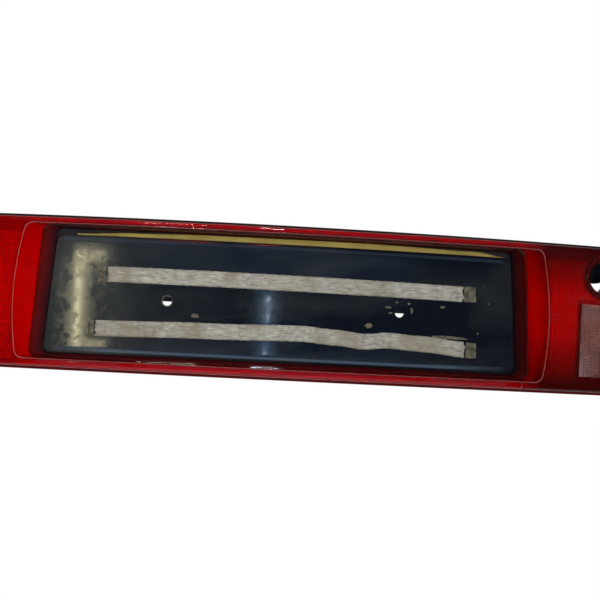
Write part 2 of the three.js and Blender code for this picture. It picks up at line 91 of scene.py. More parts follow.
# ---- Materials ----
class Shader:
    """A material and short ways to add nodes to it."""

    def __init__(self, name, colour, roughness, metallic=0.0, **sockets):
        self.material = bpy.data.materials.new(name)
        self.material.use_nodes = True
        self.tree = self.material.node_tree
        self.bsdf = self.tree.nodes["Principled BSDF"]
        self.set("Base Color", (*colour, 1.0))
        self.set("Roughness", roughness)
        self.set("Metallic", metallic)
        for label, value in sockets.items():
            self.set(label.replace("_", " "), value)

    def set(self, label, value):
        self.bsdf.inputs[label].default_value = value

    def add(self, kind, **inputs):
        node = self.tree.nodes.new(kind)
        for label, value in inputs.items():
            node.inputs[label.replace("_", " ")].default_value = value
        return node

    def link(self, out, into):
        self.tree.links.new(out, into)

    def feed(self, label, out):
        """Drives one of the Principled node's inputs."""
        self.link(out, self.bsdf.inputs[label])

    def noise(self, scale, detail=4.0, distortion=0.0, stretch=(1, 1, 1)):
        """Noise over the piece's own coordinates, in cycles per metre, stretched along its axes."""
        place = self.add("ShaderNodeTexCoord")
        spread = self.add("ShaderNodeMapping")
        spread.inputs["Scale"].default_value = stretch
        cloud = self.add("ShaderNodeTexNoise", Scale=scale, Detail=detail, Distortion=distortion)
        self.link(place.outputs["Object"], spread.inputs["Vector"])
        self.link(spread.outputs["Vector"], cloud.inputs["Vector"])
        return cloud.outputs["Fac"]

    def place(self, axis):
        """The piece's own coordinate along X, Y or Z, in metres."""
        coords = self.add("ShaderNodeTexCoord")
        split = self.add("ShaderNodeSeparateXYZ")
        self.link(coords.outputs["Object"], split.inputs["Vector"])
        return split.outputs[axis]

    def math(self, operation, first, second=None):
        node = self.add("ShaderNodeMath")
        node.operation = operation
        self.link(first, node.inputs[0])
        if second is not None:
            self.link(second, node.inputs[1])
        return node.outputs["Value"]

    def ramp(self, source, low, high, start=0.35, end=0.65):
        """Remaps a value between start and end onto low to high."""
        node = self.add("ShaderNodeMapRange")
        node.inputs["From Min"].default_value = start
        node.inputs["From Max"].default_value = end
        node.inputs["To Min"].default_value = low
        node.inputs["To Max"].default_value = high
        self.link(source, node.inputs["Value"])
        return node.outputs["Result"]

    def mix(self, factor, first, second):
        """A colour between two colours, either of which can be another node's output."""
        node = self.add("ShaderNodeMix")
        node.data_type = "RGBA"
        colour_inputs = [socket for socket in node.inputs if socket.type == "RGBA"]
        for socket, colour in zip(colour_inputs, (first, second)):
            if isinstance(colour, tuple):
                socket.default_value = (*colour, 1.0)
            else:
                self.link(colour, socket)
        self.link(factor, node.inputs["Factor"])
        return next(socket for socket in node.outputs if socket.type == "RGBA")

    def bump(self, height, strength, distance):
        node = self.add("ShaderNodeBump", Strength=strength, Distance=distance)
        self.link(height, node.inputs["Height"])
        self.feed("Normal", node.outputs["Normal"])

    def lets_lamps_through(self, tint):
        """Shadow rays pass with a tint, so lamps light what is behind this glass."""
        path = self.add("ShaderNodeLightPath")
        clear = self.add("ShaderNodeBsdfTransparent", Color=(*tint, 1.0))
        either = self.add("ShaderNodeMixShader")
        self.link(path.outputs["Is Shadow Ray"], either.inputs[0])
        self.link(self.bsdf.outputs[0], either.inputs[1])
        self.link(clear.outputs[0], either.inputs[2])
        self.link(either.outputs[0], self.tree.nodes["Material Output"].inputs["Surface"])


def acrylic(name, colour, tint, index=1.49):
    """Moulded acrylic with faint handling marks. A lower refractive index mirrors less."""
    shader = Shader(name, colour, 0.03, IOR=index, Transmission_Weight=1.0)
    smears = shader.noise(26, 5.0, 0.6, (1, 1, 2.4))
    shader.feed("Roughness", shader.ramp(smears, 0.015, 0.05))
    shader.bump(shader.noise(220, 2.0), 0.02, 0.00005)
    shader.lets_lamps_through(tint)
    return shader.material


def optics(name, bright, shaded):
    """The cut inner face of a lens: uneven from cell to cell, with painted shade towards its top
    and bottom that is strongest at its right end.
    """
    shader = Shader(name, bright, 0.28, Specular_IOR_Level=0.0)
    cells = shader.ramp(shader.noise(7, 3.0, 0.0, (1, 1, 1.6)), 0.0, 1.0, 0.2, 0.8)
    uneven = shader.mix(cells, tuple(0.8 * c for c in bright), bright)
    # Painted shade: darker towards the top and bottom edges, and much more so past x = 0.185 m.
    height = shader.math("ABSOLUTE", shader.place("Z"))
    shade_towards_edges = shader.ramp(height, 0.0, 1.0, start=0.014, end=0.052)
    shade_at_right_end = shader.ramp(shader.place("X"), 0.30, 1.0, start=0.185, end=0.205)
    shade = shader.math("MULTIPLY", shade_towards_edges, shade_at_right_end)
    shader.feed("Base Color", shader.mix(shade, uneven, shaded))
    shader.feed("Roughness", shader.ramp(shader.noise(60), 0.2, 0.4))
    return shader.material


def moulded(name, colour, roughness, grain=900.0, depth=0.00012, gloss=0.5):
    """Moulded plastic or rubber: fine grain, scuffs, and dust in patches."""
    shader = Shader(name, colour, roughness, Specular_IOR_Level=gloss)
    dust = shader.ramp(shader.noise(11, 6.0), 0.0, 0.35, 0.5, 0.72)
    pale = tuple(c * 1.5 + 0.25 * min(colour) for c in colour)
    shader.feed("Base Color", shader.mix(dust, colour, pale))
    shader.feed("Roughness", shader.ramp(shader.noise(70, 5.0), roughness - 0.1, roughness + 0.12))
    shader.bump(shader.noise(grain, 2.0), 0.25, depth)
    return shader.material


def graded(shader, axis, start, end, patches, near, far):
    """Colours a shader from near to far between two places along an axis, unevenly."""
    along = shader.ramp(shader.place(axis), 0.0, 1.0, start, end)
    shader.feed("Base Color", shader.mix(shader.math("ADD", along, patches), near, far))


def recess_wall():
    """The side of the recess: maroon at its front, darkened by painted shade to nearly black where
    it meets the panel.
    """
    shader = Shader("recess_wall", (0.056, 0.002, 0.002), 0.45, Specular_IOR_Level=0.03)
    patches = shader.ramp(shader.noise(40, 4.0), -0.15, 0.15)
    # Painted shade: darker the deeper the wall runs into the recess.
    graded(shader, "Y", -0.0515, -0.043, patches, near=(0.080, 0.003, 0.003),
           far=(0.020, 0.004, 0.006))
    return shader.material


def flange():
    """The lens's thin outer flange: painted shade darkens it along the top, and it stays red along
    the bottom.
    """
    shader = Shader("flange_red", (0.05, 0.004, 0.004), 0.5, Specular_IOR_Level=0.1)
    patches = shader.ramp(shader.noise(30, 4.0), -0.1, 0.1)
    # Painted shade: the flange darkens from its bottom towards its top.
    graded(shader, "Z", -0.030, 0.030, patches, near=(0.100, 0.003, 0.003),
           far=(0.020, 0.006, 0.004))
    return shader.material


def metal(name, colour, roughness, stain):
    """Plated or raw metal with soft stains and fine drawn lines."""
    shader = Shader(name, colour, roughness, 1.0)
    stained = shader.ramp(shader.noise(90, 5.0), 0.0, 1.0)
    shader.feed("Base Color", shader.mix(stained, colour, stain))
    shader.feed("Roughness", shader.ramp(shader.noise(300, 3.0), roughness * 0.7, roughness * 1.5))
    shader.bump(shader.noise(700, 2.0, 0.0, (1, 6, 1)), 0.12, 0.0001)
    return shader.material


def gloss_panel():
    """Near-black polished panel: wiped smears, and dust that is thicker towards its left end."""
    shader = Shader("panel_gloss", (0.009, 0.010, 0.014), 0.06, IOR=1.75)
    wiped = shader.ramp(shader.noise(20, 6.0, 1.2, (0.5, 1, 1.6)), 0.0, 0.35, 0.42, 0.75)
    dusty_end = shader.ramp(shader.place("X"), 1.0, 0.0, start=-0.170, end=-0.03)
    dust = shader.math("MULTIPLY", dusty_end, shader.ramp(shader.noise(14, 5.0), 0.2, 1.0))
    cover = shader.math("MAXIMUM", wiped, dust)
    shader.feed("Base Color", shader.mix(cover, (0.003, 0.005, 0.010), (0.046, 0.051, 0.050)))
    shader.feed("Roughness", shader.ramp(shader.noise(150, 8.0, 0.8), 0.04, 0.12, 0.4, 0.7))
    return shader.material


def foam():
    """Aged foam tape: long pale fibres, brown stains, crosswise creases drawn as dark lines of
    painted shade, and open cells.
    """
    shader = Shader("tape_foam", (0.30, 0.29, 0.25), 0.95)
    fibres = shader.ramp(shader.noise(900, 8.0, 0.6, (0.16, 1, 1)), 0.0, 1.0, 0.34, 0.66)
    stains = shader.ramp(shader.noise(38, 5.0, 0.5), 0.0, 0.8, 0.5, 0.68)
    either_side = shader.ramp(shader.noise(52, 3.0, 1.4, (1, 1, 0.4)), -0.5, 0.5, 0.0, 1.0)
    from_line = shader.math("ABSOLUTE", either_side)
    # Painted shade: dark lines where creases cross the tape.
    creases = shader.ramp(from_line, 0.42, 0.0, 0.0, 0.016)
    clean = shader.mix(fibres, (0.185, 0.180, 0.155), (0.375, 0.370, 0.330))
    worn = shader.mix(stains, clean, (0.19, 0.17, 0.115))
    shader.feed("Base Color", shader.mix(creases, worn, (0.085, 0.078, 0.060)))
    shader.bump(shader.noise(1400, 3.0), 0.6, 0.0003)
    return shader.material


def smeared(name, dark, light, grain=260):
    """Old adhesive: dull, blotched and uneven."""
    shader = Shader(name, light, 0.7)
    blotches = shader.ramp(shader.noise(grain, 6.0), 0.0, 1.0)
    shader.feed("Base Color", shader.mix(blotches, dark, light))
    shader.feed("Roughness", shader.ramp(shader.noise(150), 0.45, 0.9))
    shader.bump(shader.noise(500, 4.0), 0.5, 0.0003)
    return shader.material


def bulb_glass():
    """Thin clear glass with faint smears."""
    shader = Shader("bulb_glass", (0.97, 0.98, 0.98), 0.02, IOR=1.3, Transmission_Weight=1.0)
    shader.feed("Roughness", shader.ramp(shader.noise(50), 0.0, 0.05))
    shader.lets_lamps_through((0.9, 0.9, 0.9))
    return shader.material


RED_LENS = acrylic("red_acrylic", (0.80, 0.012, 0.006), (0.85, 0.10, 0.07))
RED_BEVEL = acrylic("red_bevel", (0.80, 0.012, 0.006), (0.85, 0.10, 0.07), index=1.08)
# Each optics finish: its own red, then the darker red that its painted shade goes to.
RED_BACK = optics("red_back", (0.28, 0.005, 0.002), (0.045, 0.001, 0.001))
RED_OPTICS = optics("red_optics", (0.47, 0.006, 0.003), (0.055, 0.001, 0.001))
# A darker copy of the red optics: painted shade on one direction of facets.
RED_SHADED_FACETS = optics("red_facets_painted_shade", (0.36, 0.004, 0.002), (0.045, 0.001, 0.001))
RED_SKIRT = optics("red_skirt", (0.17, 0.003, 0.002), (0.07, 0.002, 0.001))
WALL_BACK = recess_wall()
CLEAR_LENS = acrylic("clear_acrylic", (0.86, 0.62, 0.58), (0.92, 0.80, 0.78))
CLEAR_OPTICS = moulded("clear_optics", (0.22, 0.128, 0.112), 0.3, 200.0, 0.00001)
# A darker copy of the clear optics: painted shade on one direction of facets.
CLEAR_SHADED_FACETS = moulded("clear_facets_painted_shade", (0.15, 0.084, 0.074), 0.3, 200.0, 0.00001)
COLLAR_RED = moulded("collar_red", (0.050, 0.002, 0.002), 0.25, 300.0, 0.00002, gloss=0.1)
BLACK_ABS = moulded("black_abs", (0.014, 0.014, 0.016), 0.52)
RUBBER = moulded("seal_rubber", (0.012, 0.012, 0.012), 0.78, 1500.0, 0.0002)
PANEL = gloss_panel()
FOAM = foam()
RESIDUE = smeared("tape_residue", (0.036, 0.035, 0.022), (0.125, 0.115, 0.078))
SEALANT = smeared("old_sealant", (0.20, 0.155, 0.036), (0.27, 0.215, 0.055), grain=40)
CRACK = moulded("crack_face", (0.42, 0.05, 0.045), 0.4, 300.0, 0.0001)
SKIRT_RED = moulded("skirt_red", (0.15, 0.003, 0.002), 0.35, 300.0, 0.00002, gloss=0.2)
FLANGE_RED = flange()
# A pale line along the ridge's crest: a painted highlight.
PAINTED_CREST_HIGHLIGHT = moulded("crest_painted_highlight", (0.25, 0.040, 0.034), 0.3, 300.0, 0.00002)
ZINC = metal("zinc_steel", (0.62, 0.61, 0.57), 0.3, (0.50, 0.45, 0.33))
SILVERED = metal("silvered", (0.86, 0.86, 0.86), 0.1, (0.78, 0.78, 0.80))
BRASS = metal("brass", (0.62, 0.46, 0.18), 0.35, (0.42, 0.29, 0.12))
GLASS = bulb_glass()


# ---- Outlines, in x and z on the straight bar ----
LONG_STEPS, SIDE_STEPS, CORNER_STEPS = 120, 32, 7
END_PULL = 1.0  # how much the bar's ends bulge
CORNER, LEAST_CORNER = 14.0, 3.0  # radius of the bar's corners, and the least when moved inwards


def corner_arc(before, at, after, radius):
    """Evenly spaced points of the arc that rounds the corner at a point between two others."""
    into, out = (before - at).normalized(), (after - at).normalized()
    half = into.angle(out) / 2
    centre = at + (into + out).normalized() * radius / math.sin(half)
    reach = radius / math.tan(half)
    first, last = at + into * reach - centre, at + out * reach - centre
    turn = -first.angle_signed(last)
    points = []
    for k in range(CORNER_STEPS + 1):
        c, s = math.cos(turn * k / CORNER_STEPS), math.sin(turn * k / CORNER_STEPS)
        points.append(centre + Vector((first.x * c - first.y * s, first.x * s + first.y * c)))
    return points


def outline(low, bottom, pull, high, top, radius):
    """A rounded outline: straight below and above, and a curve at each end. Its half width is low
    at the bottom and high at the top, and the end curves are drawn towards pull, halfway up. Every
    outline has the same number of points in the same order, so that any two can be joined."""
    middle = (bottom + top) / 2
    corners = [Vector(c) for c in ((-low, bottom), (low, bottom), (high, top), (-high, top))]
    pulls = [Vector((pull, middle)), Vector((-pull, middle))]
    arcs = [
        corner_arc(pulls[1], corners[0], corners[1], radius),
        corner_arc(corners[0], corners[1], pulls[0], radius),
        corner_arc(pulls[0], corners[2], corners[3], radius),
        corner_arc(corners[2], corners[3], pulls[1], radius),
    ]
    points = []
    for i, arc in enumerate(arcs):
        start, end = arc[-1], arcs[(i + 1) % 4][0]
        if i in (0, 2):
            points += arc + [start.lerp(end, k / LONG_STEPS) for k in range(1, LONG_STEPS)]
            continue
        points += arc
        for k in range(1, SIDE_STEPS):
            share = k / SIDE_STEPS
            towards = pulls[i // 2]
            points.append(start.lerp(towards, share).lerp(towards.lerp(end, share), share))
    return points


def seam(points):
    """The middle line of an outline: each point halfway to its opposite one across the bar."""
    opposite_first = len(points) - SIDE_STEPS
    return [p.lerp(points[(opposite_first - k) % len(points)], 0.5) for k, p in enumerate(points)]


def bar(inset):
    """The bar's outline, moved inwards."""
    low, high = HALF_BOTTOM - inset, HALF_TOP - inset
    pull = (low + high) / 2 + END_PULL
    radius = max(CORNER - inset, LEAST_CORNER)
    return outline(low, BOTTOM + inset, pull, high, TOP - inset, radius)


# The recess's outlines: half widths at the bottom, halfway up and at the top, heights and radius.
Line = namedtuple("Line", "low bottom pull high top radius")
RIDGE_LINE = Line(204.0, -51.9, 212.3, 200.5, 53.6, 6.5)
MOUTH_LINE = Line(193.5, -49.9, 190.4, 186.5, 51.6, 7.0)
FOOT_LINE = Line(186.0, -47.4, 182.5, 178.6, 50.4, 6.0)
PANEL_LINE = Line(185.5, -46.9, 182.1, 178.2, 45.5, 5.5)


def grown(line, grow):
    """The outline of a line, moved outwards."""
    return outline(line.low + grow, line.bottom - grow, line.pull + grow, line.high + grow,
                   line.top + grow, line.radius)


def ridge(grow=0.0):
    """The crest round the recess."""
    return grown(RIDGE_LINE, grow)


def mouth(grow=0.0):
    """Where the bevel meets the wall of the recess."""
    return grown(MOUTH_LINE, grow)


def foot(grow=0.0):
    """The back of the recess wall."""
    return grown(FOOT_LINE, grow)


def panel_edge(grow=0.0):
    """The edge of the badge panel."""
    return grown(PANEL_LINE, grow)


# ---- Mesh helpers ----
ON_AXIS = 0.001  # radius at which a turned profile closes on its axis
WELD, BEVEL_WELD = 2e-7, 2e-6  # metres


def mesh_object(name, points, faces, materials, indices=None, smooth=35.0):
    """A welded mesh object, smooth below an angle in degrees, facing outwards if it is closed."""
    mesh = bpy.data.meshes.new(name)
    mesh.from_pydata([tuple(p) for p in points], [], faces)
    for material in materials:
        mesh.materials.append(material)
    if indices is not None:
        mesh.polygons.foreach_set("material_index", indices)
    obj = bpy.data.objects.new(name, mesh)
    bpy.context.collection.objects.link(obj)
    tidy(obj, smooth)
    return obj


def tidy(obj, smooth):
    """Welds the mesh of obj and makes its faces agree."""
    work = bmesh.new()
    work.from_mesh(obj.data)
    bmesh.ops.remove_doubles(work, verts=work.verts, dist=WELD)
    bmesh.ops.dissolve_degenerate(work, edges=work.edges, dist=WELD / 2)
    bmesh.ops.recalc_face_normals(work, faces=work.faces)
    work.to_mesh(obj.data)
    work.free()
    smooth_below(obj, smooth)


def smooth_below(obj, angle):
    """Shades obj smooth, except along edges over an angle in degrees."""
    obj.data.shade_smooth()
    obj.data.set_sharp_from_angle(angle=math.radians(angle))


def looped(name, rings, materials, smooth=35.0, closed=True):
    """A skin through rings [(points, y, material index)]. The last ring joins the first if closed.
    If not, the first and the last are seams that close the skin themselves."""
    count = len(rings[0][0])
    points = [bent(p.x, y, p.y) for loop, y, _ in rings for p in loop]
    faces, indices = [], []
    for k in range(len(rings) if closed else len(rings) - 1):
        below, above = k * count, (k + 1) % len(rings) * count
        for i in range(count):
            j = (i + 1) % count
            faces.append((below + i, below + j, above + j, above + i))
            indices.append(rings[k][2])
    return mesh_object(name, points, faces, materials, indices, smooth)


def between(first, last, y0, y1, steps, index):
    """Rings from one outline to another, the last left out."""
    made = []
    for k in range(steps):
        share = k / steps
        loop = [a.lerp(b, share) for a, b in zip(first, last)]
        made.append((loop, y0 + (y1 - y0) * share, index))
    return made


def cut(obj, cutter):
    """Subtracts the cutter from obj, keeping the cutter's material on the cut faces."""
    step = obj.modifiers.new("cut", "BOOLEAN")
    step.operation = "DIFFERENCE"
    step.solver = "EXACT"
    step.object = cutter
    settle(obj)
    bpy.data.objects.remove(cutter)


def settle(obj):
    """Replaces the mesh of obj by the mesh its modifiers make."""
    evaluated = obj.evaluated_get(bpy.context.evaluated_depsgraph_get())
    made = bpy.data.meshes.new_from_object(evaluated)
    obj.modifiers.clear()
    obj.data = made


def block(name, x0, x1, y0, y1, z0, z1, material, step=8.0):
    """A box on the straight bar, bent with it."""
    count = max(1, round((x1 - x0) / step))
    points, faces = [], []
    for k in range(count + 1):
        x = x0 + (x1 - x0) * k / count
        points += [bent(x, y0, z0), bent(x, y1, z0), bent(x, y1, z1), bent(x, y0, z1)]
    for k in range(count):
        a, b = 4 * k, 4 * k + 4
        faces += [(a + i, a + (i + 1) % 4, b + (i + 1) % 4, b + i) for i in range(4)]
    faces += [(3, 2, 1, 0), tuple(4 * count + i for i in range(4))]
    return mesh_object(name, points, faces, [material])


def turned(name, profile, centre, material, segments):
    """A piece turned about an axis along y, with its profile [(radius, y)] about the centre."""
    points, faces = [], []
    for radius, y in profile:
        for k in range(segments):
            angle = 2 * math.pi * k / segments
            offset = Vector((radius * math.cos(angle), y, radius * math.sin(angle)))
            points.append(centre + offset / 1000)
    for k in range(len(profile) - 1):
        a, b = k * segments, (k + 1) * segments
        for i in range(segments):
            j = (i + 1) % segments
            faces.append((a + i, a + j, b + j, b + i))
    return mesh_object(name, points, faces, [material])


def rod(centre, radius, y0, y1, material, segments):
    """A solid cylinder along y, made to cut with."""
    profile = [(ON_AXIS, y0), (radius, y0), (radius, y1), (ON_AXIS, y1)]
    return turned("rod", profile, centre, material, segments)


def slab(name, front, columns, rows, back, material, smooth):
    """A closed piece: a grid of points in front, and a back at one depth on the straight bar."""
    points = front + [Vector((p.x, (back + bow(p.x * 1000)) / 1000, p.z)) for p in front]
    behind = len(front)
    step = rows + 1
    faces = []

    def wall(a, b):
        faces.append((b, a, behind + a, behind + b))

    for i in range(columns):
        for j in range(rows):
            a = i * step + j
            b = a + step
            faces.append((a, b, b + 1, a + 1))
            faces.append((behind + a, behind + a + 1, behind + b + 1, behind + b))
        wall(i * step, (i + 1) * step)
        wall((i + 1) * step + rows, i * step + rows)
    last = columns * step
    for j in range(rows):
        wall(j + 1, j)
        wall(last + j, last + j + 1)
    return mesh_object(name, points, faces, [material], smooth=smooth)


def stands_for(obj, node, body=ROOT):
    """obj is shown in place of a CAD node."""
    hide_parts(node)
    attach(obj, body)


def fixed(obj):
    """obj is a finer piece of something already replaced, on the lamp's own body."""
    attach(obj, ROOT)


# ---- Red lens ----
WALL, SKIRT_WALL = 2.0, 2.4  # thickness of the recess wall and of the skirt
EDGE_STEPS, RIDGE_STEPS = 6, 7
CREST_HIGHLIGHT_STEPS = (2, 3)  # the middle of the ridge, where a pale line along its crest is a painted highlight
WINDOW_GAP, LOCK_GAP = 0.3, 0.4  # the window's clearance, and how far the collar laps the lens


def lens_rings():
    """The lens's closed skin, from the back of its flange round the front and back again."""
    glass, back, wall, skirt, inner_skirt, bevel, flange, crest = range(8)
    rings = [(bar(0.0), FLANGE_BACK, flange), (bar(0.0), FLANGE_FRONT + 0.6, flange)]
    rings += [(bar(0.2), FLANGE_FRONT + 0.15, flange), (bar(0.6), FLANGE_FRONT, flange)]
    rings += [(bar(SKIRT - 0.3), FLANGE_FRONT, skirt), (bar(SKIRT), FLANGE_FRONT - 0.4, skirt)]
    rings += [(bar(SKIRT), FACE + EDGE + 1.0, glass), (bar(SKIRT), FACE + EDGE, glass)]
    for k in range(1, EDGE_STEPS):
        angle = math.pi / 2 * k / EDGE_STEPS
        inset = SKIRT + EDGE * (1 - math.cos(angle))
        rings.append((bar(inset), FACE + EDGE * (1 - math.sin(angle)), glass))
    rings.append((bar(SKIRT + EDGE), FACE, glass))
    rings += between(bar(SKIRT + EDGE + 0.6), ridge(RIDGE * 2), FACE, FACE, 26, glass)
    rings += [(ridge(RIDGE * 2), FACE, glass), (ridge(RIDGE * 1.2), FACE, glass)]
    for k in range(RIDGE_STEPS):
        across = 1 - k / (RIDGE_STEPS // 2)
        rise = RIDGE_RISE * math.cos(math.pi / 2 * across)
        # The middle rings of the crest take the painted highlight.
        rings.append((ridge(RIDGE * across), FACE - rise, crest if k in CREST_HIGHLIGHT_STEPS else glass))
    rings += [(ridge(-RIDGE * 1.25), FACE + 0.12, bevel)]
    rings += between(ridge(-RIDGE * 1.7), mouth(1.0), FACE + 0.24, BEVEL_END - 0.3, 8, bevel)
    for grow, depth in ((1.0, -0.3), (0.6, -0.18), (0.25, 0.15), (0.05, 0.7), (0.0, 1.2)):
        rings.append((mouth(grow), BEVEL_END + depth, glass))
    rings += between(mouth(-0.1), foot(), BEVEL_END + 1.6, WALL_END, 5, wall)
    rings += [(foot(), WALL_END, wall), (foot(), RECESS_END, wall)]
    rings += [(foot(WALL), RECESS_END, wall), (foot(WALL), WALL_END - 0.5, wall)]
    rings += between(foot(WALL), mouth(WALL), WALL_END - 0.6, BEVEL_END + 2.6, 3, wall)
    rings += between(mouth(WALL), ridge(0.6), BEVEL_END + 2.4, INNER_FACE - 0.2, 5, back)
    rings += between(ridge(0.8), bar(SKIRT + 0.6), INNER_FACE, INNER_FACE, 12, back)
    rings += [(bar(SKIRT + 0.6), INNER_FACE + 0.1, inner_skirt)]
    rings += [(bar(SKIRT + SKIRT_WALL), INNER_FACE + 2.0, inner_skirt)]
    rings += [(bar(SKIRT + SKIRT_WALL), SKIRT_END, inner_skirt)]
    rings += [(bar(SKIRT + 0.2), SKIRT_END, skirt), (bar(SKIRT), FLANGE_BACK + 0.2, flange)]
    return rings


def window_block(side, grow, y0, y1, material, name="window"):
    """A box over one reversing window, larger all round by grow."""
    x0, x1 = sorted((side * (WINDOW["inner"] - grow), side * (WINDOW["outer"] + grow)))
    return block(name, x0, x1, y0, y1, WINDOW["bottom"] - grow, WINDOW["top"] + grow, material)


LOCK_AT = bent(LOCK["x"], 0, LOCK["z"])
LENS_FINISHES = [RED_LENS, RED_BACK, WALL_BACK, SKIRT_RED, RED_SKIRT, RED_BEVEL, FLANGE_RED,
                 PAINTED_CREST_HIGHLIGHT]
lens = looped("red_lens_skin", lens_rings(), LENS_FINISHES)
for side, _ in SIDES:
    cut(lens, window_block(side, WINDOW_GAP, FACE - 3, FACE + 5, WALL_BACK))
cut(lens, rod(LOCK_AT, LOCK["outer"] - LOCK_GAP, -66, -48, WALL_BACK, segments=64))
smooth_below(lens, 35)
stands_for(lens, "red_lens")

# The collar's section (radius, y): outside, rolled rim, bore and back.
COLLAR = [
    (17.9, -42.0), (18.0, -59.6), (17.7, -60.6), (17.0, -61.1), (16.2, -61.0), (15.6, -60.3),
    (14.9, -58.9), (13.8, -57.2), (13.2, -55.4), (13.0, -53.0), (13.0, -34.2), (15.2, -34.2),
    (15.3, -41.8), (17.9, -42.0),
]
fixed(turned("lock_collar", COLLAR, LOCK_AT, COLLAR_RED, segments=72))


def crack():
    """A hairline crack across the strip under the recess: a thin, pale, slightly raised line."""
    top, length, x_top, drift, half_width, steps = -52.6, 6.2, 188.6, 2.0, 0.28, 16
    points, faces = [], []
    for k in range(steps + 1):
        share = k / steps
        z = top - length * share
        x = x_top - drift * share * share + 0.25 * noise.noise(Vector((share * 6, 1, 0)))
        half = half_width * math.sin(math.pi * min(0.92, share + 0.06))
        points += [bent(x - half, FACE + 0.05, z), bent(x, FACE - 0.09, z)]
        points.append(bent(x + half, FACE + 0.05, z))
    for k in range(steps):
        a, b = 3 * k, 3 * k + 3
        faces += [(a + i, a + (i + 1) % 3, b + (i + 1) % 3, b + i) for i in range(3)]
    faces += [(2, 1, 0), (3 * steps, 3 * steps + 1, 3 * steps + 2)]
    fixed(mesh_object("hairline_crack", points, faces, [CRACK]))


crack()


# ---- Lens optics: rows of small pyramids on the inner face ----
PEAK, VALLEY = FACE + 2.2, FACE + 2.5
OFF_RIDGE, OFF_END, OFF_WINDOW, OFF_LOCK = 3.0, 9.0, 3.2, 2.2  # the margins that have no optics


def ridge_half_width(z):
    """How far from the middle the ridge runs at a height."""
    share = (z - RIDGE_LINE.bottom) / (RIDGE_LINE.top - RIDGE_LINE.bottom)
    low, pull, high = RIDGE_LINE.low, RIDGE_LINE.pull, RIDGE_LINE.high
    return (1 - share) ** 2 * low + 2 * share * (1 - share) * pull + share**2 * high


def pyramids(name, side, inside, x_range, z_range, peak, valley, materials, pitch_x, pitch_z):
    """A field of pyramids between two depths, kept where inside(x, z) is true. Facets that look
    along the bar take the first material, and those that look up or down the second; one is a
    darker copy of the other, which paints shade on those facets."""
    points, faces, indices = [], [], []
    known = {}

    def corner(i, j, depth):
        key = (i, j, depth)
        if key not in known:
            known[key] = len(points)
            points.append(bent(side * (x_range[0] + i * pitch_x), depth, z_range[0] + j * pitch_z))
        return known[key]

    columns = int((x_range[1] - x_range[0]) / pitch_x)
    rows = int((z_range[1] - z_range[0]) / pitch_z)
    for i in range(columns):
        for j in range(rows):
            x = x_range[0] + (i + 0.5) * pitch_x
            z = z_range[0] + (j + 0.5) * pitch_z
            if not inside(x, z):
                continue
            ring = [corner(i, j, valley), corner(i + 1, j, valley), corner(i + 1, j + 1, valley),
                    corner(i, j + 1, valley)]
            points.append(bent(side * x, peak, z))
            top = len(points) - 1
            for a in range(4):
                faces.append((ring[a], ring[(a + 1) % 4], top))
                indices.append((a + 1) % 2)
    fixed(mesh_object(name, points, faces, materials, indices, smooth=20.0))


def red_zone(mirror):
    """A test for where a red side zone has optics: off the ridge, end, windows and lock."""

    def test(x, z):
        if x < ridge_half_width(z) + OFF_RIDGE:
            return False
        taper = (HALF_BOTTOM - HALF_TOP) * (z - BOTTOM) / (TOP - BOTTOM)
        if x > HALF_BOTTOM - taper - OFF_END:
            return False
        beside = WINDOW["inner"] - OFF_WINDOW < x < WINDOW["outer"] + OFF_WINDOW
        if beside and WINDOW["bottom"] - OFF_WINDOW < z < WINDOW["top"] + OFF_WINDOW:
            return False
        from_lock = math.hypot(x - LOCK["x"], z - LOCK["z"])
        return mirror < 0 or from_lock > LOCK["outer"] + OFF_LOCK

    return test


def everywhere(x, z):
    """The test for a field with no gaps."""
    return True


for side, word in SIDES:
    pyramids(f"red_optics_{word}", side, red_zone(side), (205.0, 449.0), (-53.0, 48.0), PEAK,
             VALLEY, [RED_OPTICS, RED_SHADED_FACETS], OPTICS_PITCH, OPTICS_PITCH)
# On these strips the facets that look along the bar take the painted shade.
for word, low, high in (("upper", 55.2, 57.0), ("lower", -56.6, -53.4)):
    pyramids(f"red_ticks_{word}", 1, everywhere, (-203.0, 203.0), (low, high), PEAK + 0.15, VALLEY,
             [RED_SHADED_FACETS, RED_OPTICS], OPTICS_PITCH, high - low)


# ---- Reversing lenses ----
PANE, LIP_FRONT, LIP_BACK, LIP = 3.2, 3.3, 4.5, 2.2  # pane thickness; the lip's depths and width


def reverse_lens(side, word):
    """A flush clear pane with a rear lip, over its own finer optics."""
    pane = window_block(side, 0.0, FACE, FACE + PANE, CLEAR_LENS, f"reverse_pane_{word}")
    soften(pane, 0.35)
    stands_for(pane, f"reverse_lens_{word}")
    lip = window_block(side, LIP, FACE + LIP_FRONT, FACE + LIP_BACK, CLEAR_OPTICS,
                       f"reverse_lip_{word}")
    fixed(lip)
    pyramids(f"reverse_optics_{word}", side, everywhere,
             (WINDOW["inner"] + 0.8, WINDOW["outer"] - 0.4),
             (WINDOW["bottom"] + 0.8, WINDOW["top"] - 0.4), FACE + 1.6, FACE + 2.3,
             [CLEAR_OPTICS, CLEAR_SHADED_FACETS], WINDOW_PITCH, WINDOW_PITCH)


def soften(obj, width, segments=3):
    """Rounds the edges of obj that are sharper than 30 degrees, with the width in millimetres."""
    work = bmesh.new()
    work.from_mesh(obj.data)
    bmesh.ops.remove_doubles(work, verts=work.verts, dist=BEVEL_WELD)
    flat = math.radians(0.6)
    bmesh.ops.dissolve_limit(work, angle_limit=flat, verts=work.verts, edges=work.edges)
    work.to_mesh(obj.data)
    work.free()
    step = obj.modifiers.new("soften", "BEVEL")
    step.width = width / 1000
    step.segments = segments
    step.limit_method = "ANGLE"
    step.angle_limit = math.radians(30)
    step.harden_normals = False
    settle(obj)
    smooth_below(obj, 40)


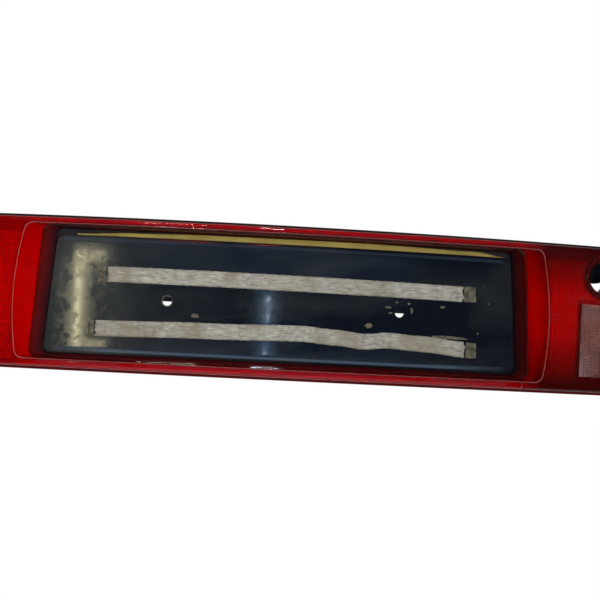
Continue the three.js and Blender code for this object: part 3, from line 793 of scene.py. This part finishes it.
for side, word in SIDES:
    reverse_lens(side, word)


# ---- Badge panel ----
BEVEL_STEPS = 8


def panel_rings():
    """A plate with a rounded front edge, closed along a seam on its front and on its back."""
    middle = seam(panel_edge(-20.0))
    rings = between(middle, panel_edge(-1.0), PANEL_BACK, PANEL_BACK, 8, 0)
    rings += [(panel_edge(-0.4), PANEL_BACK, 0), (panel_edge(0.0), PANEL_BACK - 0.4, 0)]
    for k in range(BEVEL_STEPS + 1):
        angle = math.pi / 2 * k / BEVEL_STEPS
        inset = PANEL_BEVEL * (1 - math.cos(angle))
        depth = PANEL_EDGE + (PANEL_FACE - PANEL_EDGE) * math.sin(angle)
        rings.append((panel_edge(-inset), depth, 0))
    rings += between(panel_edge(-PANEL_BEVEL - 0.8), middle, PANEL_FACE, PANEL_FACE, 14, 0)
    return rings + [(middle, PANEL_FACE, 0)]


panel = looped("badge_panel_body", panel_rings(), [PANEL], smooth=30.0, closed=False)
for side, _ in SIDES:
    cut(panel, rod(bent(side * PIN_X, 0, PIN_Z), PIN_RADIUS, -55, -40, PANEL, segments=32))
smooth_below(panel, 25)
stands_for(panel, "badge_panel")


# ---- Foam tapes, adhesive and sealing compound ----
TAPE_ROWS, TAPE_PITCH = 16, 0.9  # points across a tape, and the spacing along it
LEAST_TAPE = 0.12  # the least thickness of a tape
# The middle lines of the tapes, as (x, z).
UPPER_TAPE = [(-139, 16.0), (-60, 15.9), (0, 15.6), (70, 15.2), (141, 14.6)]
LOWER_TAPE = [(-146, -26.5), (-60, -25.0), (15, -23.4), (40, -25.0), (64, -27.0), (82, -25.2),
              (110, -26.6), (144, -29.4)]
TAPES = [("upper", UPPER_TAPE, 12.4), ("lower", LOWER_TAPE, 12.6)]
# Patches of adhesive past the tapes' ends: from x, to x, z and width.
RESIDUES = [("upper_left", -145.8, -139.4, 16.0, 12.0), ("upper_right", 141.4, 151.4, 14.7, 12.0),
            ("lower_left", -151.2, -146.4, -26.5, 12.6), ("lower_right", 144.4, 153.4, -29.7, 12.2)]


def smooth_line(stops, x):
    """A smooth curve through stops [(x, value)]."""
    for (x0, v0), (x1, v1) in zip(stops, stops[1:]):
        if x <= x1:
            share = max(0.0, (x - x0) / (x1 - x0))
            share = share * share * (3 - 2 * share)
            return v0 + (v1 - v0) * share
    return stops[-1][1]


def ribbon(name, node, stops, width, thickness, material, seed, ragged, creases, tear):
    """A strip of tape on the panel: wavering edges, torn ends and a creased top."""
    x0, x1 = stops[0][0], stops[-1][0]
    columns = max(6, round((x1 - x0) / TAPE_PITCH))
    shift = Vector((seed * 7.3, seed * 3.1, 0))

    def wander(x, y):
        return noise.noise(Vector((x, y, 0)) + shift)

    points = []
    for i in range(columns + 1):
        along = i / columns
        for j in range(TAPE_ROWS + 1):
            across = j / TAPE_ROWS - 0.5
            start = x0 + tear * (wander(across * 5, 0.3) + 0.2)
            end = x1 + tear * (wander(across * 5, 9.3) - 0.2)
            x = start + (end - start) * along
            waver = ragged * wander(x * 0.35, 4.0 if across > 0 else 8.0)
            z = smooth_line(stops, x) + across * (width + 2 * waver)
            lift = creases * noise.fractal(Vector((x * 0.22, z * 0.5, 0)) + shift, 1.0, 2.0, 4)
            from_end = min(along, 1 - along) * columns * 0.45
            edge = min(1.0, (0.5 - abs(across)) * 9, from_end)
            height = thickness * (0.25 + 0.75 * math.sqrt(max(0.0, edge))) + lift * edge
            points.append(bent(x, PANEL_SKIN - max(LEAST_TAPE, height), z))
    obj = slab(name, points, columns, TAPE_ROWS, PANEL_SKIN, material, smooth=60.0)
    stands_for(obj, node)


for seed, (word, stops, width) in enumerate(TAPES, 1):
    ribbon(f"{word}_tape", f"badge_tape_{word}", stops, width, 1.3, FOAM, seed,
           ragged=0.35, creases=0.25, tear=2.0)
for k, (word, x0, x1, z, width) in enumerate(RESIDUES):
    ribbon(f"residue_{word}", f"tape_residue_{word}", [(x0, z), (x1, z)], width, 0.35, RESIDUE,
           5 + k, ragged=0.5, creases=0.12, tear=1.2)


def blob(name, x, z, wide, tall, seed, height=0.25):
    """A flattened, uneven dab of adhesive on the panel, in millimetres."""
    turns, rows = 28, 4
    points, faces = [], []
    shift = Vector((seed * 5.7, seed * 2.3, 0))
    for j in range(rows + 1):
        share = 1 - j / rows
        for k in range(turns):
            angle = 2 * math.pi * k / turns
            at = Vector((math.cos(angle), math.sin(angle), 0))
            reach = share * (1 + 0.45 * noise.noise(at * 1.6 + shift))
            y = PANEL_FACE - height * (1 - share * share)
            points.append(bent(x + at.x * reach * wide, y, z + at.y * reach * tall))
    for j in range(rows):
        a, b = j * turns, (j + 1) * turns
        for k in range(turns):
            after = (k + 1) % turns
            faces.append((a + k, a + after, b + after, b + k))
    faces.append(tuple(reversed(range(turns))))
    fixed(mesh_object(name, points, faces, [RESIDUE], smooth=60.0))


# Dabs of adhesive (x, z, half width, half height): flakes round the right pin hole, then others.
DABS = [
    (82.0, 1.0, 2.6, 1.0), (84.0, -3.4, 1.6, 0.7), (88.5, 5.2, 0.9, 0.8), (98.0, 4.6, 1.3, 0.9),
    (100.5, -0.8, 0.9, 2.4), (125.0, 3.4, 2.0, 1.0), (-69.0, -13.4, 3.0, 1.8),
    (67.0, -14.2, 2.6, 2.0), (154.0, -16.0, 0.7, 0.7), (158.0, 22.0, 0.8, 0.5),
    (-142.0, 28.0, 1.0, 0.8), (162.0, 8.0, 0.5, 0.9),
]
for k, (x, z, wide, tall) in enumerate(DABS):
    blob(f"dab_{k}", x, z, wide, tall, 20 + k)
blob("wedge", 131.0, -20.4, 14.0, 1.3, 41, height=0.3)


def pin_halo():
    """A thin ring of adhesive left round the left pin hole."""
    inner, outer = PIN_RADIUS + 0.15, PIN_RADIUS + 0.9
    profile = [(inner, -0.02), (inner + 0.1, -0.16), ((inner + outer) / 2, -0.22),
               (outer - 0.2, -0.12), (outer, -0.02), (inner, -0.02)]
    ring = turned("pin_halo", profile, bent(-PIN_X, PANEL_FACE, PIN_Z), RESIDUE, segments=40)
    fixed(ring)


pin_halo()


def sealing_strip():
    """Old sealing compound that fills the gap over the panel, thickest in the middle."""
    low, front, columns, rows = 45.75, -46.5, 240, 6
    upper_edge = [(-163, 46.9), (-120, 48.6), (-60, 49.6), (60, 49.9), (150, 48.9), (172, 46.2)]
    x0, x1 = upper_edge[0][0], upper_edge[-1][0]
    points = []
    for i in range(columns + 1):
        x = x0 + (x1 - x0) * i / columns
        top = smooth_line(upper_edge, x) + 0.15 * noise.noise(Vector((x * 0.3, 0, 0)))
        for j in range(rows + 1):
            share = j / rows
            lumps = 0.2 * noise.noise(Vector((x * 0.15, share * 2, 3)))
            crown = 0.5 * math.sin(math.pi * share) + lumps
            points.append(bent(x, front - crown, low + (top - low) * share))
    obj = slab("sealing_compound", points, columns, rows, RECESS_END, SEALANT, smooth=50.0)
    stands_for(obj, "panel_sealing_strip")


sealing_strip()


# ---- Pieces that keep the CAD's shape, with softened edges ----
def refined(node, material, width, body=ROOT, segments=2):
    """Shows a copy of a CAD node with its edges rounded by a width in millimetres."""
    copy = frame["nodes"][node].copy()
    copy.data = copy.data.copy()
    copy.name = f"{node}_shown"
    copy.parent = None
    for key in [k for k in copy.keys() if k.startswith("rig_")]:
        del copy[key]
    bpy.context.collection.objects.link(copy)
    copy.data.materials.clear()
    copy.data.materials.append(material)
    soften(copy, width, segments)
    stands_for(copy, node, body)


refined("housing", BLACK_ABS, 0.5)
refined("body_gasket", RUBBER, 0.8)
refined("lens_seal", RUBBER, 0.2)
for k in range(1, 5):
    refined(f"panel_screw_{k}", ZINC, 0.2)
for k in range(1, 7):
    refined(f"mounting_stud_{k}", ZINC, 0.25)
    refined(f"mounting_nut_{k}", ZINC, 0.35)
for kind in ("reverse", "stop"):
    for _, word in SIDES:
        lamp = f"{kind}_{word}"
        holder_body = f"{lamp}_bulb_holder"
        refined(f"{lamp}_reflector", SILVERED, 0.2)
        refined(f"{lamp}_holder", BLACK_ABS, 0.4, holder_body)
        refined(f"{lamp}_holder_seal", RUBBER, 0.3, holder_body)
        refined(f"{lamp}_bulb", GLASS, 0.5, holder_body, segments=3)
        for blade in ("live", "earth"):
            refined(f"{lamp}_terminal_{blade}", BRASS, 0.15, holder_body)


# ---- Light ----
CARD_GAP = 0.01  # metres between the cards of one soft card
AHEAD = -1.05  # y of most mirrored cards


def card(name, place, aim, size, colour, power, mirrored=False, spread=180.0):
    """A rectangular lamp, with its power in watts. A mirrored one is seen in polished faces and
    lights nothing else. Any other lights the bar and is never mirrored."""
    lamp = bpy.data.lights.new(name, "AREA")
    lamp.shape = "RECTANGLE"
    lamp.size, lamp.size_y = size
    lamp.color = colour
    lamp.energy = power
    lamp.spread = math.radians(spread)
    obj = bpy.data.objects.new(name, lamp)
    obj.location = place
    obj.rotation_euler = (Vector(aim) - Vector(place)).to_track_quat("-Z", "Y").to_euler()
    obj.visible_glossy = mirrored
    obj.visible_diffuse = not mirrored
    bpy.context.collection.objects.link(obj)


def soft_card(name, place, aim, size, growth, colour, power, count=3):
    """A mirrored card with soft edges: cards of growing size, one behind the other."""
    x, y, z = place
    for k in range(count):
        grown_size = (size[0] + growth[0] * k, size[1] + growth[1] * k)
        card(name, (x, y - CARD_GAP * k, z), aim, grown_size, colour, power, mirrored=True)


card("key", (0.85, -1.35, 0.10), (-0.5, 0, 0), (0.5, 0.4), (1.0, 0.96, 0.90), 3.2, spread=55)
card("fill", (-0.9, -1.2, -0.2), (-0.1, 0, 0), (0.8, 0.5), (1.0, 0.96, 0.92), 1.0)
card("back_fill", (0.3, 1.5, 0.8), (0, 0, 0), (1.2, 0.6), (0.92, 0.96, 1.0), 16)

# What the badge panel mirrors: a warm window with bent ends at the left, and a cool gap ahead
# with small glints in it and a bluish surround.
soft_card("warm_window", (-0.482, -1.60, -0.004), (-0.157, -0.04, 0), (0.012, 0.232), (0.011, 0),
          (1.0, 0.91, 0.55), 0.036, count=4)
for x, z in ((-0.450, 0.104), (-0.440, -0.090)):
    card("warm_corner", (x, -1.65, z), (-0.150, -0.04, 0), (0.060, 0.024), (1.0, 0.90, 0.56),
         0.018, mirrored=True)
soft_card("cool_gap", (0.008, AHEAD, -0.026), (0, 0, -0.02), (0.008, 0.10), (0.016, 0.02),
          (0.34, 0.60, 1.0), 0.0035, count=4)
for z, power in ((0.094, 0.008), (-0.112, 0.012)):
    soft_card("blue_gap", (0.03, AHEAD, z), (0.03, 0, z), (0.50, 0.080), (0.06, 0.02),
              (0.42, 0.64, 1.0), power)
for z in (0.018, 0.003, -0.011, -0.073):
    card("glint", (0.010, -1.04, z), (0, 0, 0), (0.005, 0.005), (0.75, 0.88, 1.0), 0.0012,
         mirrored=True)

# What the rounded edges mirror: streaks along the upper edges, a glow under the panel's rim and
# over it, and lamps past both ends that draw the ridge.
card("cool_streak", (0.010, -0.80, 0.80), (0, 0, 0), (0.05, 0.06), (0.80, 0.90, 1.0), 1.5,
     mirrored=True)
card("warm_streak", (-0.22, AHEAD, 1.05), (-0.1, 0, 0), (0.16, 0.06), (1.0, 0.88, 0.70), 2.0,
     mirrored=True)
soft_card("low_glow", (0.03, AHEAD, -0.36), (0.03, 0, -0.36), (0.75, 0.34), (0.10, 0.10),
          (0.46, 0.70, 1.0), 0.45)
card("high_glow", (0.03, AHEAD, 0.36), (0.03, 0, 0.36), (1.1, 0.36), (0.42, 0.62, 1.0), 0.4,
     mirrored=True)
card("left_edge", (-1.25, -0.95, 0.05), (-0.2, 0, 0), (0.10, 1.0), (1.0, 0.90, 0.88), 0.5,
     mirrored=True)
card("right_edge", (1.35, -0.85, -0.10), (0.2, 0, 0), (0.10, 1.0), (1.0, 0.90, 0.92), 0.5,
     mirrored=True)


# ---- Floor and room ----
FLOOR_HEIGHT, FLOOR_HALF_WIDTH, FLOOR_HALF_DEPTH = -0.5, 0.75, 0.7
ROOM_LIGHT = 0.42  # strength on dull faces
MIRRORED_AHEAD, MIRRORED_BEHIND = 0.02, 0.5  # strength in polished faces


def floor():
    """A plain pale floor half a metre under the bar, as white to the camera as the room behind."""
    shader = Shader("pale_floor", (0.80, 0.80, 0.80), 0.9)
    path = shader.add("ShaderNodeLightPath")
    white = shader.add("ShaderNodeEmission", Color=(1, 1, 1, 1), Strength=1.0)
    seen = shader.add("ShaderNodeMixShader")
    shader.link(path.outputs["Is Camera Ray"], seen.inputs[0])
    shader.link(shader.bsdf.outputs[0], seen.inputs[1])
    shader.link(white.outputs[0], seen.inputs[2])
    surface = shader.tree.nodes["Material Output"].inputs["Surface"]
    shader.link(seen.outputs[0], surface)
    x, y, z = FLOOR_HALF_WIDTH, FLOOR_HALF_DEPTH, FLOOR_HEIGHT
    corners = [(-x, -y, z), (x, -y, z), (x, y, z), (-x, y, z)]
    mesh_object("floor", corners, [(0, 1, 2, 3)], [shader.material])


def world():
    """White to the camera, and an even grey room to dull faces. Polished faces mirror a room that
    is dark ahead of the bar and brighter behind it."""
    room = bpy.data.worlds.new("room")
    bpy.context.scene.world = room
    room.use_nodes = True
    tree = room.node_tree

    def add(kind, **inputs):
        node = tree.nodes.new(kind)
        for label, value in inputs.items():
            node.inputs[label.replace("_", " ")].default_value = value
        return node

    def either(question, no, yes):
        node = add("ShaderNodeMixShader")
        tree.links.new(path.outputs[question], node.inputs[0])
        tree.links.new(no, node.inputs[1])
        tree.links.new(yes, node.inputs[2])
        return node.outputs["Shader"]

    path = add("ShaderNodeLightPath")
    split = add("ShaderNodeSeparateXYZ")
    tree.links.new(add("ShaderNodeTexCoord").outputs["Generated"], split.inputs["Vector"])
    behind = add("ShaderNodeMapRange", From_Min=-0.4, From_Max=0.2, To_Min=MIRRORED_AHEAD,
                 To_Max=MIRRORED_BEHIND)
    tree.links.new(split.outputs["Y"], behind.inputs["Value"])

    mirrored = tree.nodes["Background"]
    mirrored.inputs["Color"].default_value = (0.80, 0.92, 1.0, 1)
    tree.links.new(behind.outputs["Result"], mirrored.inputs["Strength"])
    lit = add("ShaderNodeBackground", Color=(0.92, 0.95, 1.0, 1), Strength=ROOM_LIGHT)
    seen = add("ShaderNodeBackground", Color=(1, 1, 1, 1), Strength=1.0)
    unseen = either("Is Glossy Ray", lit.outputs[0], mirrored.outputs[0])
    surface = either("Is Camera Ray", unseen, seen.outputs[0])
    tree.links.new(surface, tree.nodes["World Output"].inputs["Surface"])


floor()
world()

# ---- Camera ----
CAMERA_PLACE = (-0.0382, -0.960, -0.0128)
YAW, PITCH, ROLL = (math.radians(a) for a in (3.16, 0.99, 2.91))
FOCAL_LENGTH, SENSOR_WIDTH = 70.2, 36

camera_data = bpy.data.cameras.new("camera")
camera_data.sensor_width = SENSOR_WIDTH
camera_data.lens = FOCAL_LENGTH
camera = bpy.data.objects.new("camera", camera_data)
bpy.context.collection.objects.link(camera)
camera.location = CAMERA_PLACE
level = math.cos(PITCH)
forward = Vector((math.sin(YAW) * level, math.cos(YAW) * level, math.sin(PITCH)))
camera.rotation_mode = "QUATERNION"
camera.rotation_quaternion = Quaternion(forward, -ROLL) @ forward.to_track_quat("-Z", "Y")
bpy.context.scene.camera = camera

bpy.context.scene.view_settings.view_transform = "Standard"
bpy.context.scene.view_settings.look = "None"
